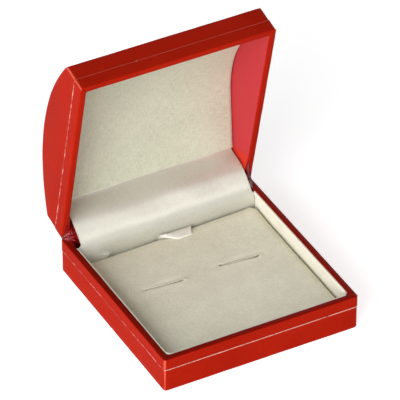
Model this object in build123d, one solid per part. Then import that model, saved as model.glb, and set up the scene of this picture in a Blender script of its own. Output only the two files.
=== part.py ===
from build123d import *
import math
import os

# A leatherette-covered cufflink display box, shown open. Millimetres.
# X runs left to right, Y from the front to the hinge, Z up.
# The origin is the centre of the underside.

# Overall sizes
box_width = 90.0
box_depth = 92.0
base_height = 16.5
lid_wall_height = 12.7  # rim to the start of the dome, front and back
lid_crown_height = 24.5  # rim to the top of the dome
open_angle = 77.0

# Shells and coverings
wrap_t = 0.4
wall_t = 2.1
dome_t = 1.2
floor_t = 1.5
turn_in_t = 0.3
turn_in_depth = 4.0
under_turn_in = 14.0
bottom_sheet_t = 0.3
bottom_sheet_inset = 3.0
corner_r = 1.2
bottom_edge_r = 1.0
rim_edge_r = 0.35
dome_corner_r = 2.0
dome_end_r = 0.7
band_step = 0.35  # how far the rim band stands out from the wall below it
base_band = 5.7  # height of the band on the base, gilt line included
lid_band = 6.0
gilt_h = 0.45
gilt_t = 0.25

# Cream lining of the base, red lining of the lid
liner_t = 0.5
liner_corner_r = 2.5
liner_below_rim = 0.2
liner_back = 8.8  # end of the cream liner, from the outside of the back wall
lining_t = 0.2
lining_clear = 0.4

# Lid panel: satin on a bowed card, straight flanks and a round crown
card_t = 0.5
satin_t = 0.2
panel_r = 48.0
panel_slope = 17.2  # degrees
panel_shift = 1.6  # crown of the bow, forward of the box's middle
panel_end = 8.2  # end of the panel, from the outside of the back wall
panel_side_clear = 0.45
panel_dome_clear = 0.12

# Pad
pad_top = 10.0
pad_clear = 0.3
pad_back = 10.3  # from the outside of the back wall
pad_edge_r = 1.4
pad_crown = 0.5
velvet_t = 0.6
board_t = 1.2
slit_length = 16.2
slit_width = 0.8
slit_depth = 5.0
slit_spacing = 35.0
slit_shift = -0.8
slit_y = 5.0
pad_lift = 14.2

# Pull tab
tab_width = 15.0
tab_length = 6.0
tab_t = 1.0
tab_x = 3.0
tab_anchor_t = 0.25
tab_gap = 0.3

# Satin flap over the hinge
flap_width = 80.4
flap_shift = 0.7
flap_satin_t = 0.35
flap_paper_t = 0.4
flap_pad_gap = 0.55
flap_knee_r = 8.0
flap_seam_r = 0.9
flap_margin = 10.0
seam_gap = 0.5
margin_clear = 0.15
knee_below_rim = 0.6
crest_back = 0.9  # where the flap levels out, from the hinge line
crest_rise = 7.6

# Spring hinges
rim_gap = 0.3
axis_inset = 0.5
roll_r = 1.0
pin_r = 0.35
barrel_r = 0.7
pin_clear = 0.04
leaf_t = 0.3
leaf_width = 16.0
leaf_height = 8.5
knuckle_width = 6.0
knuckle_clear = 0.15
notch_clear = 0.2
hinge_spacing = 44.0
rivet_spacing = 9.0
rivet_r = 0.8
rivet_head_r = 1.3
rivet_head_t = 0.35
rivet_bite = 1.2
rivet_drop = 6.0  # rim to rivet
spring_t = 0.2
spring_width = 4.6
spring_over_leaf = 0.2
spring_gap = 0.08
spring_bend_r = 0.2

# Leatherette hinge strips
strip_t = 0.3
strip_clear = 0.05
strip_reach = 8.0
strip_side_clear = 0.5
strip_end_gap = 5.0  # how far the outer strip stops short of the sides
strip_fold_r = 2.0
strip_inner_r = 1.0

# Worked out from the sizes above
half_depth = box_depth / 2
wall_in = wrap_t + wall_t
rim_in = wall_in + turn_in_t
floor_z = bottom_sheet_t + wrap_t + floor_t
base_line_z = base_height - base_band
rim_z = base_height + rim_gap  # rim of the closed lid
lid_line_z = rim_z + lid_band
axis_y = half_depth - axis_inset
axis_z = base_height + rim_gap / 2
dome_rise = lid_crown_height - lid_wall_height
dome_r = (half_depth**2 + dome_rise**2) / (2 * dome_rise)
dome_z = rim_z + lid_crown_height - dome_r
hinge_line = Axis((0, axis_y, axis_z), (1, 0, 0))
side_plane = Plane(origin=(0, 0, 0), x_dir=(0, 1, 0), z_dir=(1, 0, 0))


def opened(shape):
    """Turns a piece of the closed lid to the open rest pose."""
    return shape.rotate(hinge_line, -open_angle)


def opened_point(y, z):
    """The same turn for one point of the side view."""
    turn = math.radians(-open_angle)
    dy = y - axis_y
    dz = z - axis_z
    new_y = axis_y + dy * math.cos(turn) - dz * math.sin(turn)
    new_z = axis_z + dy * math.sin(turn) + dz * math.cos(turn)
    return new_y, new_z


def prism(inset, z_low, z_high, radius=None):
    """A block of the box's outline, set in from it all round."""
    radius = max(corner_r - inset, 0.3) if radius is None else radius
    outline = RectangleRounded(box_width - 2 * inset, box_depth - 2 * inset, radius)
    return extrude(Pos(0, 0, z_low) * outline, z_high - z_low)


def long_box(x_size, y_low, y_high, z_low, z_high, x_middle=0.0):
    block = Box(x_size, y_high - y_low, z_high - z_low)
    return Pos(x_middle, (y_low + y_high) / 2, (z_low + z_high) / 2) * block


def rod(radius, length, x_middle=0.0):
    """A round bar along the hinge line."""
    return Pos(x_middle, axis_y, axis_z) * Rot(0, 90, 0) * Cylinder(radius, length)


def strip(points, radii, near, far, width, x_middle=0.0, side=Side.RIGHT):
    """A bent strip along a side-view line, between two distances from it, with a width along X."""
    path = FilletPolyline(*points, radius=radii)
    outline = make_face(offset(path, amount=far, side=side, closed=True).edges())
    if near > 0:
        outline -= make_face(offset(path, amount=near, side=side, closed=True).edges())
    solid = extrude(side_plane * outline, amount=width / 2, both=True)
    return Pos(x_middle, 0, 0) * solid


def rolled_edge(inset, z_rim, up):
    """What rounds the back edge of a rim, so that the two halves roll past each other."""
    radius = roll_r - inset
    y_face = half_depth - inset
    z_mid = z_rim - up * radius
    square = long_box(box_width, y_face - radius, y_face + 1, min(z_mid, z_rim + up), max(z_mid, z_rim + up))
    round_bar = Pos(0, y_face - radius, z_mid) * Rot(0, 90, 0) * Cylinder(radius, box_width + 2)
    return square - round_bar


# Base

def base_block(inset, z_low, z_high, line_z):
    lower = prism(inset + band_step, z_low, line_z)
    lower = fillet(lower.edges().group_by(Axis.Z)[0], bottom_edge_r - inset)
    upper = prism(inset, line_z, z_high)
    return lower + upper


def hinge_notches(z_low, z_high):
    """Slots through a back wall for the hinge barrels and leaves."""
    slots = []
    for side in (-1, 1):
        slots.append(
            long_box(
                leaf_width + 2 * notch_clear,
                half_depth - rim_in - 1,
                half_depth + 1,
                z_low,
                z_high,
                side * hinge_spacing / 2,
            )
        )
    return slots


def rivet_places():
    for hinge in (-1, 1):
        for rivet in (-1, 1):
            yield hinge * hinge_spacing / 2 + rivet * rivet_spacing / 2


def rivets(z, stack):
    """Flat-headed rivets that hold what is stacked on the inside of a back wall."""
    y_face = half_depth - rim_in
    y_head = y_face - stack
    group = []
    for x in rivet_places():
        shank = Cylinder(rivet_r, stack + rivet_bite)
        head = Cylinder(rivet_head_r, rivet_head_t)
        shank = Pos(x, y_head + (stack + rivet_bite) / 2, z) * Rot(90, 0, 0) * shank
        head = Pos(x, y_head - rivet_head_t / 2, z) * Rot(90, 0, 0) * head
        group.append(shank + head)
    return group


def rivet_holes(z, y_low, y_high):
    holes = []
    for x in rivet_places():
        hole = Cylinder(rivet_r, y_high - y_low)
        holes.append(Pos(x, (y_low + y_high) / 2, z) * Rot(90, 0, 0) * hole)
    return holes


base_rivet_z = base_height - rivet_drop
lid_rivet_z = rim_z + rivet_drop
rivet_end_y = half_depth - rim_in + rivet_bite
base_notches = hinge_notches(axis_z - barrel_r - notch_clear, base_height + 1)
lid_notches = hinge_notches(rim_z - 1, axis_z + barrel_r + notch_clear)

base_outer = base_block(0, bottom_sheet_t, base_height, base_line_z)
base_outer = fillet(base_outer.edges().group_by(Axis.Z)[-1], rim_edge_r)
base_outer -= rolled_edge(0, base_height, 1)
base_shell = base_block(wrap_t, bottom_sheet_t + wrap_t, base_height - wrap_t, base_line_z + wrap_t)
base_shell -= rolled_edge(wrap_t, base_height - wrap_t, 1)
base_shell -= prism(wall_in, floor_z, base_height)
gilt_ring = prism(0.05, base_line_z, base_line_z + gilt_h)
gilt_ring -= prism(gilt_t, base_line_z - 1, base_line_z + gilt_h + 1)
base_wrap = base_outer - base_shell - gilt_ring
base_wrap -= prism(rim_in, floor_z, base_height + 1)
base_wrap -= prism(wall_in, floor_z, base_height - turn_in_depth)
base_wrap -= prism(under_turn_in, 0, floor_z + 1)
for cutter in base_notches + rivet_holes(base_rivet_z, half_depth - rim_in - 1, rivet_end_y):
    base_shell -= cutter
    base_wrap -= cutter
bottom_sheet = prism(bottom_sheet_inset, 0, bottom_sheet_t, corner_r)

# The cream strip round the inside stops behind the flap, short of the back wall.
liner_back_y = half_depth - liner_back
wall_liner = prism(rim_in, floor_z, base_height - liner_below_rim)
wall_liner -= prism(rim_in + liner_t, floor_z - 1, base_height, liner_corner_r)
wall_liner -= long_box(box_width, liner_back_y, half_depth, floor_z - 1, base_height)

# Pad

pad_front_y = -(half_depth - rim_in - liner_t - pad_clear)
pad_back_y = half_depth - pad_back
pad_width = box_width - 2 * (rim_in + liner_t + pad_clear)
pad_mid_y = (pad_front_y + pad_back_y) / 2
crown_reach = math.hypot(pad_width / 2, (pad_back_y - pad_front_y) / 2)
crown_r = (crown_reach**2 + pad_crown**2) / (2 * pad_crown)


def pad_block(inset, z_low):
    """The padded block with a crowned top and rounded edges, set in by a thickness."""
    block = long_box(
        pad_width - 2 * inset,
        pad_front_y + inset,
        pad_back_y - inset,
        z_low,
        pad_top + 5,
    )
    block &= Pos(0, pad_mid_y, pad_top - crown_r) * Sphere(crown_r - inset)
    uprights = block.edges().filter_by(Axis.Z)
    block = fillet(uprights, liner_corner_r - inset)
    return fillet(block.faces().sort_by(Axis.Z)[-1].edges(), pad_edge_r - inset)


def slits(z_low):
    cuts = []
    for side in (-1, 1):
        x = slit_shift + side * slit_spacing / 2
        y_low = slit_y - slit_width / 2
        cuts.append(long_box(slit_length, y_low, y_low + slit_width, z_low, pad_top + 1, x))
    return cuts


board_z = floor_z + velvet_t
pad_foam = pad_block(velvet_t, board_z + board_t)
pad_velvet = pad_block(0, floor_z) - pad_block(velvet_t, board_z)
pad_board = pad_block(velvet_t, board_z) - long_box(box_width, -half_depth, half_depth, board_z + board_t, pad_top + 1)
velvet_turn_in = 8.0
pad_velvet -= long_box(
    pad_width - 2 * velvet_turn_in,
    pad_front_y + velvet_turn_in,
    pad_back_y - velvet_turn_in,
    floor_z - 1,
    board_z,
)
for cut in slits(pad_top - slit_depth):
    pad_foam -= cut
    pad_velvet -= cut

# Pull tab: a folded ribbon that lies forward on the pad, and its tail glued down the pad's back
tab_hinge_y = pad_back_y - tab_t / 2
tab_front_y = tab_hinge_y - tab_length
tab_z = pad_top - crown_r + math.sqrt(crown_r**2 - (tab_front_y - pad_mid_y) ** 2) + tab_gap
pull_tab = long_box(tab_width, tab_front_y, tab_hinge_y, tab_z, tab_z + tab_t, tab_x)
pull_tab = fillet(pull_tab.edges().filter_by(Axis.X), tab_t * 0.45)
tab_tail = long_box(
    tab_width,
    pad_back_y,
    pad_back_y + tab_anchor_t,
    floor_z + velvet_t,
    pad_top - pad_edge_r,
    tab_x,
)

# Lid, made closed and then turned open

def lid_block(side_in, dome_in, z_low, shoulder_r=0.5):
    """The lid's outline in side view, with its walls and its dome set in, made a block."""
    half = half_depth - side_in
    radius = dome_r - dome_in
    z_shoulder = dome_z + math.sqrt(radius**2 - half**2)
    z_crown = dome_z + radius
    walls = Polyline((-half, z_shoulder), (-half, z_low), (half, z_low), (half, z_shoulder))
    dome = ThreePointArc((half, z_shoulder), (0, z_crown), (-half, z_shoulder))
    outline = make_face(walls.edges() + dome.edges())
    shoulders = outline.vertices().group_by(Axis.Y)[-1]
    outline = fillet(shoulders, shoulder_r)
    block = extrude(side_plane * outline, amount=box_width / 2 - side_in, both=True)
    return block & prism(side_in, z_low - 1, z_crown + 1)


def lid_outer_block(inset, z_low, line_z):
    upper = lid_block(inset + band_step, inset, line_z, dome_corner_r - inset)
    return upper + prism(inset, z_low, line_z)


lid_outer = lid_outer_block(0, rim_z, lid_line_z)
lid_outer = fillet(lid_outer.edges().group_by(Axis.Z)[0], rim_edge_r)
lid_outer -= rolled_edge(0, rim_z, -1)
lid_shell = lid_outer_block(wrap_t, rim_z + wrap_t, lid_line_z - wrap_t)
lid_shell -= rolled_edge(wrap_t, rim_z + wrap_t, -1)
lid_shell -= lid_block(wall_in, wrap_t + dome_t, rim_z)
lid_gilt = prism(0.05, lid_line_z - gilt_h, lid_line_z)
lid_gilt -= prism(gilt_t, lid_line_z - gilt_h - 1, lid_line_z + 1)
lid_wrap = lid_outer - lid_shell - lid_gilt
lid_wrap -= prism(rim_in, rim_z - 1, rim_z + turn_in_depth)
lid_wrap -= lid_block(wall_in, wrap_t + dome_t, rim_z + turn_in_depth)
for cutter in lid_notches + rivet_holes(lid_rivet_z, half_depth - rim_in - 1, rivet_end_y):
    lid_shell -= cutter
    lid_wrap -= cutter

# Red lining sheets on the two end walls and the front wall
lining_low = rim_z + wrap_t
lining_block = lid_block(rim_in, wrap_t + dome_t + lining_clear, lining_low)
lining_hollow = lid_block(rim_in + lining_t, wrap_t, lining_low - 1)
lining_back_y = half_depth - rim_in - 1.0
linings = lining_block - lining_hollow
linings -= long_box(box_width, lining_back_y, half_depth, rim_z - 1, rim_z + lid_crown_height)
front_cut_y = -(half_depth - rim_in - 2 * lining_t)
lid_front_lining = linings & long_box(
    box_width - 2 * (rim_in + 2 * lining_t), -half_depth, front_cut_y, rim_z, rim_z + lid_crown_height
)
end_lining_x = box_width / 2 - rim_in - lining_t
lid_end_linings = []
for side in (-1, 1):
    x_mid = side * (end_lining_x + 1)
    lid_end_linings.append(
        linings & long_box(2, -half_depth, half_depth, rim_z, rim_z + lid_crown_height, x_mid)
    )

# Lid panel
panel_top = dome_z + dome_r - wrap_t - dome_t - panel_dome_clear
slope = math.radians(panel_slope)
panel_mid_y = -panel_shift
panel_peak_z = panel_top - panel_r + panel_r / math.cos(slope)
panel_back_y = half_depth - panel_end
panel_front_y = -(half_depth - rim_in - lining_t - lining_clear)
panel_width = box_width - 2 * (rim_in + lining_t + panel_side_clear)


def panel_line_z(y):
    """Height of the panel's top face on its straight flanks."""
    return panel_peak_z - abs(y - panel_mid_y) * math.tan(slope)


panel_points = [
    (panel_back_y, panel_line_z(panel_back_y)),
    (panel_mid_y, panel_peak_z),
    (panel_front_y, panel_line_z(panel_front_y)),
]
liner_card = strip(panel_points, panel_r, 0, card_t, panel_width, side=Side.LEFT)
liner_satin = strip(panel_points, panel_r, card_t, card_t + satin_t, panel_width, side=Side.LEFT)

# Satin flap: glued under the dome, out from behind the panel, over the hinge, down behind the pad
flap_t = flap_satin_t + flap_paper_t


def under_dome(y, clear):
    """A point a little under the closed lid's dome."""
    radius = dome_r - wrap_t - dome_t - clear
    return y, dome_z + math.sqrt(radius**2 - y**2)


flap_y = pad_back_y + flap_pad_gap
seam_y = panel_back_y + seam_gap
flap_points = [
    (flap_y, floor_z + 1.0),
    (flap_y, base_height - knee_below_rim),
    (axis_y + crest_back, axis_z + crest_rise),
    opened_point(*under_dome(seam_y, flap_t + margin_clear)),
    opened_point(*under_dome(seam_y - flap_margin, flap_t + margin_clear)),
]
flap_radii = [flap_knee_r, flap_knee_r, flap_seam_r]
satin_flap = strip(flap_points, flap_radii, 0, flap_satin_t, flap_width, flap_shift)
flap_paper = strip(flap_points, flap_radii, flap_satin_t, flap_t, flap_width, flap_shift)

# Spring hinges
wall_face_y = half_depth - rim_in
outer_knuckle = (leaf_width - knuckle_width) / 2
leaf_far = barrel_r + leaf_height


def level(side, z):
    """A height measured from the hinge line, down for the base and up for the lid."""
    return axis_z + side * z


def upright_box(side, x_size, y_low, y_high, z_near, z_far, x_middle):
    z_low, z_high = sorted((level(side, z_near), level(side, z_far)))
    return long_box(x_size, y_low, y_high, z_low, z_high, x_middle)


def leaf(side, x_middle):
    """One leaf: a run over the wall's edge and a plate down its inside. Side is -1 base, 1 lid."""
    y_plate = wall_face_y - leaf_t
    body = upright_box(side, leaf_width, y_plate, axis_y, barrel_r - leaf_t, barrel_r, x_middle)
    body += upright_box(side, leaf_width, y_plate, wall_face_y, barrel_r - leaf_t, leaf_far, x_middle)
    barrels = []
    reliefs = []
    for end in (-1, 1):
        x = x_middle + end * (knuckle_width + outer_knuckle) / 2
        barrels.append(rod(barrel_r, outer_knuckle - knuckle_clear, x + end * knuckle_clear / 2))
        reliefs.append(rod(barrel_r + knuckle_clear, outer_knuckle, x))
    middle_barrel = rod(barrel_r, knuckle_width - knuckle_clear, x_middle)
    middle_relief = rod(barrel_r + knuckle_clear, knuckle_width, x_middle)
    if side > 0:
        for relief in reliefs:
            body -= relief
        return body + middle_barrel - rod(pin_r + pin_clear, leaf_width + 2, x_middle)
    body -= middle_relief
    for barrel in barrels:
        body += barrel
    return body - rod(pin_r, leaf_width + 2, x_middle)


def snap_spring(x_middle):
    """A flat spring riveted over the base leaf, with a tongue that bears on the lid's barrel."""
    y_back = wall_face_y - leaf_t
    plate_low = axis_z - leaf_far
    points = [
        (y_back, plate_low),
        (y_back, axis_z - barrel_r + leaf_t + spring_over_leaf),
        (axis_y - barrel_r - spring_gap, axis_z + spring_gap),
    ]
    tongue = strip(points, spring_bend_r, 0, spring_t, spring_width, x_middle, Side.LEFT)
    plate = long_box(
        rivet_spacing + 2 * rivet_head_r,
        y_back - spring_t,
        y_back,
        plate_low,
        base_rivet_z + rivet_head_r,
        x_middle,
    )
    return tongue + plate


hinges = {}
for name, side in (("left", -1), ("right", 1)):
    x_middle = side * hinge_spacing / 2
    base_leaf = leaf(-1, x_middle)
    lid_leaf = leaf(1, x_middle)
    spring = snap_spring(x_middle)
    for hole in rivet_holes(base_rivet_z, wall_face_y - 1, wall_face_y):
        base_leaf -= hole
        spring -= hole
    for hole in rivet_holes(lid_rivet_z, wall_face_y - 1, wall_face_y):
        lid_leaf -= hole
    hinges["hinge_base_leaf_" + name] = base_leaf
    hinges["hinge_lid_leaf_" + name] = opened(lid_leaf)
    hinges["hinge_pin_" + name] = rod(pin_r, leaf_width, x_middle)
    hinges["hinge_spring_" + name] = spring
base_rivets = rivets(base_rivet_z, leaf_t + spring_t)
lid_rivets = [opened(r) for r in rivets(lid_rivet_z, leaf_t)]

# Leatherette strips that join the two halves, outside and inside the hinges
strip_width = box_width - 2 * (rim_in + strip_side_clear)
outer_y = half_depth + strip_clear
bisector = math.radians(-open_angle / 2)
fold_distance = (outer_y - axis_y) / math.cos(bisector)
fold = (axis_y + fold_distance * math.cos(bisector), axis_z + fold_distance * math.sin(bisector))
outer_points = [
    (outer_y, base_height - strip_reach),
    fold,
    opened_point(outer_y, rim_z + strip_reach),
]
outer_strip = strip(outer_points, strip_fold_r, 0, strip_t, box_width - 2 * strip_end_gap)
inner_y = wall_face_y - leaf_t - spring_t - rivet_head_t - strip_clear
inner_points = [
    (inner_y, base_height - strip_reach),
    (inner_y, base_height + rim_gap),
    opened_point(inner_y, rim_z - rim_gap),
    opened_point(inner_y, rim_z + strip_reach),
]
inner_strip = strip(inner_points, strip_inner_r, 0, strip_t, strip_width, side=Side.LEFT)

nodes = {
    "base_shell": base_shell,
    "base_wrap": base_wrap,
    "base_gilt_line": gilt_ring,
    "bottom_sheet": bottom_sheet,
    "base_wall_liner": wall_liner,
    "base_hinge_rivets": base_rivets,
    "pad_board": pad_board,
    "pad_foam": pad_foam,
    "pad_velvet": pad_velvet,
    "pull_tab": pull_tab,
    "pull_tab_tail": tab_tail,
    "lid_shell": opened(lid_shell),
    "lid_wrap": opened(lid_wrap),
    "lid_gilt_line": opened(lid_gilt),
    "lid_front_lining": opened(lid_front_lining),
    "lid_end_lining_left": opened(lid_end_linings[0]),
    "lid_end_lining_right": opened(lid_end_linings[1]),
    "lid_panel_card": opened(liner_card),
    "lid_panel_satin": opened(liner_satin),
    "lid_hinge_rivets": lid_rivets,
    "satin_flap": satin_flap,
    "flap_paper": flap_paper,
    "hinge_strip_outer": outer_strip,
    "hinge_strip_inner": inner_strip,
}
nodes.update(hinges)

os.makedirs("parts", exist_ok=True)
for name, shape in nodes.items():
    if isinstance(shape, list):
        shape = Compound(children=shape)
    export_step(shape, f"parts/{name}.step")
print(len(nodes), "nodes")
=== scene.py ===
import math
import random

import bmesh
import bpy
from mathutils import Matrix, Vector, noise


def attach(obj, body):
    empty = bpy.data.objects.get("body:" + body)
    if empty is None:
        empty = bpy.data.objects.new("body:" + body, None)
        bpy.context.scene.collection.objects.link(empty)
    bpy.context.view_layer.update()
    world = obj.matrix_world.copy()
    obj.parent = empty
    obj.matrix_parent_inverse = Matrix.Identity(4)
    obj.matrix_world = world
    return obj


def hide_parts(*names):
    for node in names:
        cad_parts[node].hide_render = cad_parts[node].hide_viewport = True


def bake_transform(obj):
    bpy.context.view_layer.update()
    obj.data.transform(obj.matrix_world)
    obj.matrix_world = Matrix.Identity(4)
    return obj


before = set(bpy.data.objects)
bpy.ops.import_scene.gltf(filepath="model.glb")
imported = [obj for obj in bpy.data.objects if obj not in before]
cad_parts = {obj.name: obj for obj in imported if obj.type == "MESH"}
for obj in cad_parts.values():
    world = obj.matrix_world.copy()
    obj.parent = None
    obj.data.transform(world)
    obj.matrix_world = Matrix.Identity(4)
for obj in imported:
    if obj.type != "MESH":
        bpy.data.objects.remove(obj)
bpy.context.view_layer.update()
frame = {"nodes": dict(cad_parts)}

mm = 0.001
nodes = frame["nodes"]
random.seed(7)

# Sizes of the finished box, in millimetres, as the CAD part has them
box = {
    "width": 90.0,
    "depth": 92.0,
    "baseHeight": 16.5,
    "hingeY": 45.5,
    "hingeZ": 16.65,
    "openAngle": 77.0,
    "rimZ": 16.8,  # rim of the closed lid
    "lidWall": 12.7,
    "lidCrown": 24.5,
    "bandStep": 0.12,  # the cover's own step, which padding under it softens
    "baseLineZ": 10.8,
    "lidBand": 6.0,
}


# Shader maths as plain Python

class Wire:
    def __init__(self, maker, socket):
        self.maker = maker
        self.socket = socket

    def maths(self, operation, *others):
        return self.maker.node("ShaderNodeMath", {"operation": operation}, [self, *others])

    def __add__(self, other):
        return self.maths("ADD", other)

    def __radd__(self, other):
        return self.maths("ADD", other)

    def __sub__(self, other):
        return self.maths("SUBTRACT", other)

    def __rsub__(self, other):
        return self.maker.node("ShaderNodeMath", {"operation": "SUBTRACT"}, [other, self])

    def __mul__(self, other):
        return self.maths("MULTIPLY", other)

    def __rmul__(self, other):
        return self.maths("MULTIPLY", other)

    def __truediv__(self, other):
        return self.maths("DIVIDE", other)

    def __pow__(self, other):
        return self.maths("POWER", other)


class Maker:
    def __init__(self, name):
        self.material = bpy.data.materials.new(name)
        self.material.use_nodes = True
        self.tree = self.material.node_tree
        self.shader = self.tree.nodes["Principled BSDF"]
        self.place = self.node("ShaderNodeTexCoord", {}, {}, "Object")

    def node(self, kind, settings, inputs, output=0):
        made = self.tree.nodes.new(kind)
        for key, value in settings.items():
            if key == "stops":
                self.setStops(made.color_ramp, value)
            else:
                setattr(made, key, value)
        entries = inputs.items() if isinstance(inputs, dict) else enumerate(inputs)
        for key, value in entries:
            if isinstance(value, Wire):
                self.tree.links.new(value.socket, made.inputs[key])
            else:
                made.inputs[key].default_value = value
        return Wire(self, made.outputs[output])

    def setStops(self, ramp, stops):
        while len(ramp.elements) > 1:
            ramp.elements.remove(ramp.elements[-1])
        for index, (position, colour) in enumerate(stops):
            element = ramp.elements[0] if index == 0 else ramp.elements.new(position)
            element.position = position
            element.color = (*colour, 1)

    def noise(self, size, detail=2.0, roughness=0.5, where=None):
        values = {"Vector": where or self.place, "Scale": 1 / (size * mm)}
        values.update({"Detail": detail, "Roughness": roughness})
        return self.node("ShaderNodeTexNoise", {}, values)

    def cells(self, size, feature="F1", where=None):
        values = {"Vector": where or self.place, "Scale": 1 / (size * mm)}
        return self.node("ShaderNodeTexVoronoi", {"feature": feature}, values, "Distance")

    def split(self, vector):
        made = self.node("ShaderNodeSeparateXYZ", {}, {"Vector": vector}).socket.node
        return [Wire(self, made.outputs[name]) for name in ("X", "Y", "Z")]

    def stretch(self, x, y, z, where=None):
        return self.node("ShaderNodeMapping", {}, {"Vector": where or self.place, "Scale": (x, y, z)})

    def cloth(self, width, length):
        # the piece's own flat pattern at its real size
        flat = self.node("ShaderNodeTexCoord", {}, {}, "UV")
        return self.node("ShaderNodeMapping", {}, {"Vector": flat, "Scale": (width * mm, length * mm, 1)})

    def between(self, mask, low, high):
        # a number that goes from low to high with the mask
        values = {"Value": mask, "From Min": 0.0, "From Max": 1.0, "To Min": low, "To Max": high}
        return self.node("ShaderNodeMapRange", {}, values)

    def step(self, wire, low, high):
        # 0 below low, 1 above high
        values = {"Value": wire, "From Min": low, "From Max": high, "To Min": 0.0, "To Max": 1.0}
        return self.node("ShaderNodeMapRange", {"interpolation_type": "SMOOTHSTEP"}, values)

    def mix(self, mask, first, second):
        first = first if isinstance(first, Wire) else (*first, 1)
        second = second if isinstance(second, Wire) else (*second, 1)
        values = {0: mask, 6: first, 7: second}
        return self.node("ShaderNodeMix", {"data_type": "RGBA"}, values, 2)

    def bump(self, height, depth, under=None):
        values = {"Height": height, "Distance": depth * mm, "Strength": 1.0}
        if under:
            values["Normal"] = under
        return self.node("ShaderNodeBump", {}, values, "Normal")

    def finish(self, **sockets):
        for name, value in sockets.items():
            socket = self.shader.inputs[name.replace("_", " ")]
            if isinstance(value, Wire):
                self.tree.links.new(value.socket, socket)
            elif isinstance(value, tuple) and len(value) == 3:
                socket.default_value = (*value, 1) if len(socket.default_value) == 4 else value
            else:
                socket.default_value = value
        return self.material


# Hand tools

def clearSelection():
    if bpy.context.object and bpy.context.object.mode != "OBJECT":
        bpy.ops.object.mode_set(mode="OBJECT")
    bpy.ops.object.select_all(action="DESELECT")


def only(piece):
    clearSelection()
    piece.select_set(True)
    bpy.context.view_layer.objects.active = piece


def named(name):
    piece = bpy.context.object
    piece.name = name
    piece.data.name = name
    return piece


def addBlock(name, low, high):
    # a cube primitive between two corners, in millimetres
    clearSelection()
    size = [(b - a) * mm for a, b in zip(low, high)]
    middle = [(a + b) / 2 * mm for a, b in zip(low, high)]
    bpy.ops.mesh.primitive_cube_add(size=1, location=middle, scale=size)
    bpy.ops.object.transform_apply(location=True, rotation=True, scale=True)
    return named(name)


def addGrid(name, across, along):
    # a unit grid, laid on a path afterwards
    clearSelection()
    bpy.ops.mesh.primitive_grid_add(x_subdivisions=across, y_subdivisions=along, size=1)
    return named(name)


def editing(piece, kind="FACE"):
    only(piece)
    bpy.ops.object.mode_set(mode="EDIT")
    bpy.ops.mesh.select_mode(type=kind)


def done():
    bpy.ops.object.mode_set(mode="OBJECT")


def pickFaces(piece, test):
    bpy.ops.mesh.select_all(action="DESELECT")
    shape = bmesh.from_edit_mesh(piece.data)
    shape.normal_update()
    for face in shape.faces:
        if test(face.calc_center_median() / mm, face.normal):
            face.select_set(True)
    bmesh.update_edit_mesh(piece.data)


def pickEdges(piece, test):
    # test gets the two ends of an edge, in millimetres
    bpy.ops.mesh.select_all(action="DESELECT")
    shape = bmesh.from_edit_mesh(piece.data)
    for edge in shape.edges:
        if test(edge.verts[0].co / mm, edge.verts[1].co / mm):
            edge.select_set(True)
    bmesh.update_edit_mesh(piece.data)


def bevel(width, segments, profile=0.5):
    bpy.ops.mesh.bevel(offset=width * mm, segments=segments, profile=profile, affect="EDGES")


def modify(piece, kind, **settings):
    only(piece)
    modifier = piece.modifiers.new(kind.lower(), kind)
    for key, value in settings.items():
        setattr(modifier, key, value)
    bpy.ops.object.modifier_apply(modifier=modifier.name)
    return piece


def soften(piece, degrees=40):
    only(piece)
    bpy.ops.object.shade_smooth_by_angle(angle=math.radians(degrees))


def cutAway(piece, cutters):
    for cutter in cutters:
        modify(piece, "BOOLEAN", operation="DIFFERENCE", solver="EXACT", object=cutter)
        bpy.data.objects.remove(cutter)


def shiftPoints(piece, move):
    # move gives each point's new place from its old one, both in millimetres
    for vertex in piece.data.vertices:
        vertex.co = Vector(move(vertex.co / mm)) * mm
    piece.data.update()


def ripple(point, size, seed=0.0):
    # smooth noise between about -1 and 1
    return noise.noise(Vector(point) / size + Vector((seed, seed * 1.7, -seed)))


def dress(piece, material, body):
    piece.data.materials.clear()
    piece.data.materials.append(material)
    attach(piece, body)
    return piece


def opened(point):
    # turns a point of the closed lid to the photographed pose
    turn = math.radians(-box["openAngle"])
    dy = point[1] - box["hingeY"]
    dz = point[2] - box["hingeZ"]
    y = box["hingeY"] + dy * math.cos(turn) - dz * math.sin(turn)
    z = box["hingeZ"] + dy * math.sin(turn) + dz * math.cos(turn)
    return Vector((point[0], y, z))


def bendLine(points, radii, step=0.5):
    # a side-view line with its corners rounded, as evenly spaced points
    line = [Vector(points[0])]
    for before, corner, after, radius in zip(points, points[1:], points[2:], radii):
        corner = Vector(corner)
        arrive = (corner - Vector(before)).normalized()
        leave = (Vector(after) - corner).normalized()
        turn = arrive.angle_signed(leave)
        reach = radius * math.tan(abs(turn) / 2)
        start = corner - arrive * reach
        side = Vector((arrive.y, -arrive.x)) * (1 if turn > 0 else -1)
        middle = start + side * radius
        steps = max(2, int(abs(turn) * radius / step) + 1)
        for k in range(steps + 1):
            angle = -turn * k / steps
            arm = start - middle
            spun = Vector((
                arm.x * math.cos(angle) - arm.y * math.sin(angle),
                arm.x * math.sin(angle) + arm.y * math.cos(angle),
            ))
            line.append(middle + spun)
    line.append(Vector(points[-1]))
    return line


class Path:
    # finds the place and the facing a given way along a line
    def __init__(self, line):
        self.line = line
        self.marks = [0.0]
        for a, b in zip(line, line[1:]):
            self.marks.append(self.marks[-1] + (b - a).length)
        self.length = self.marks[-1]

    def at(self, distance):
        distance = min(max(distance, 0.0), self.length)
        index = 0
        while index < len(self.line) - 2 and self.marks[index + 1] < distance:
            index += 1
        span = self.marks[index + 1] - self.marks[index]
        share = (distance - self.marks[index]) / span if span else 0.0
        a, b = self.line[index], self.line[index + 1]
        along = (b - a).normalized()
        return a + (b - a) * share, Vector((-along.y, along.x))


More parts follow.
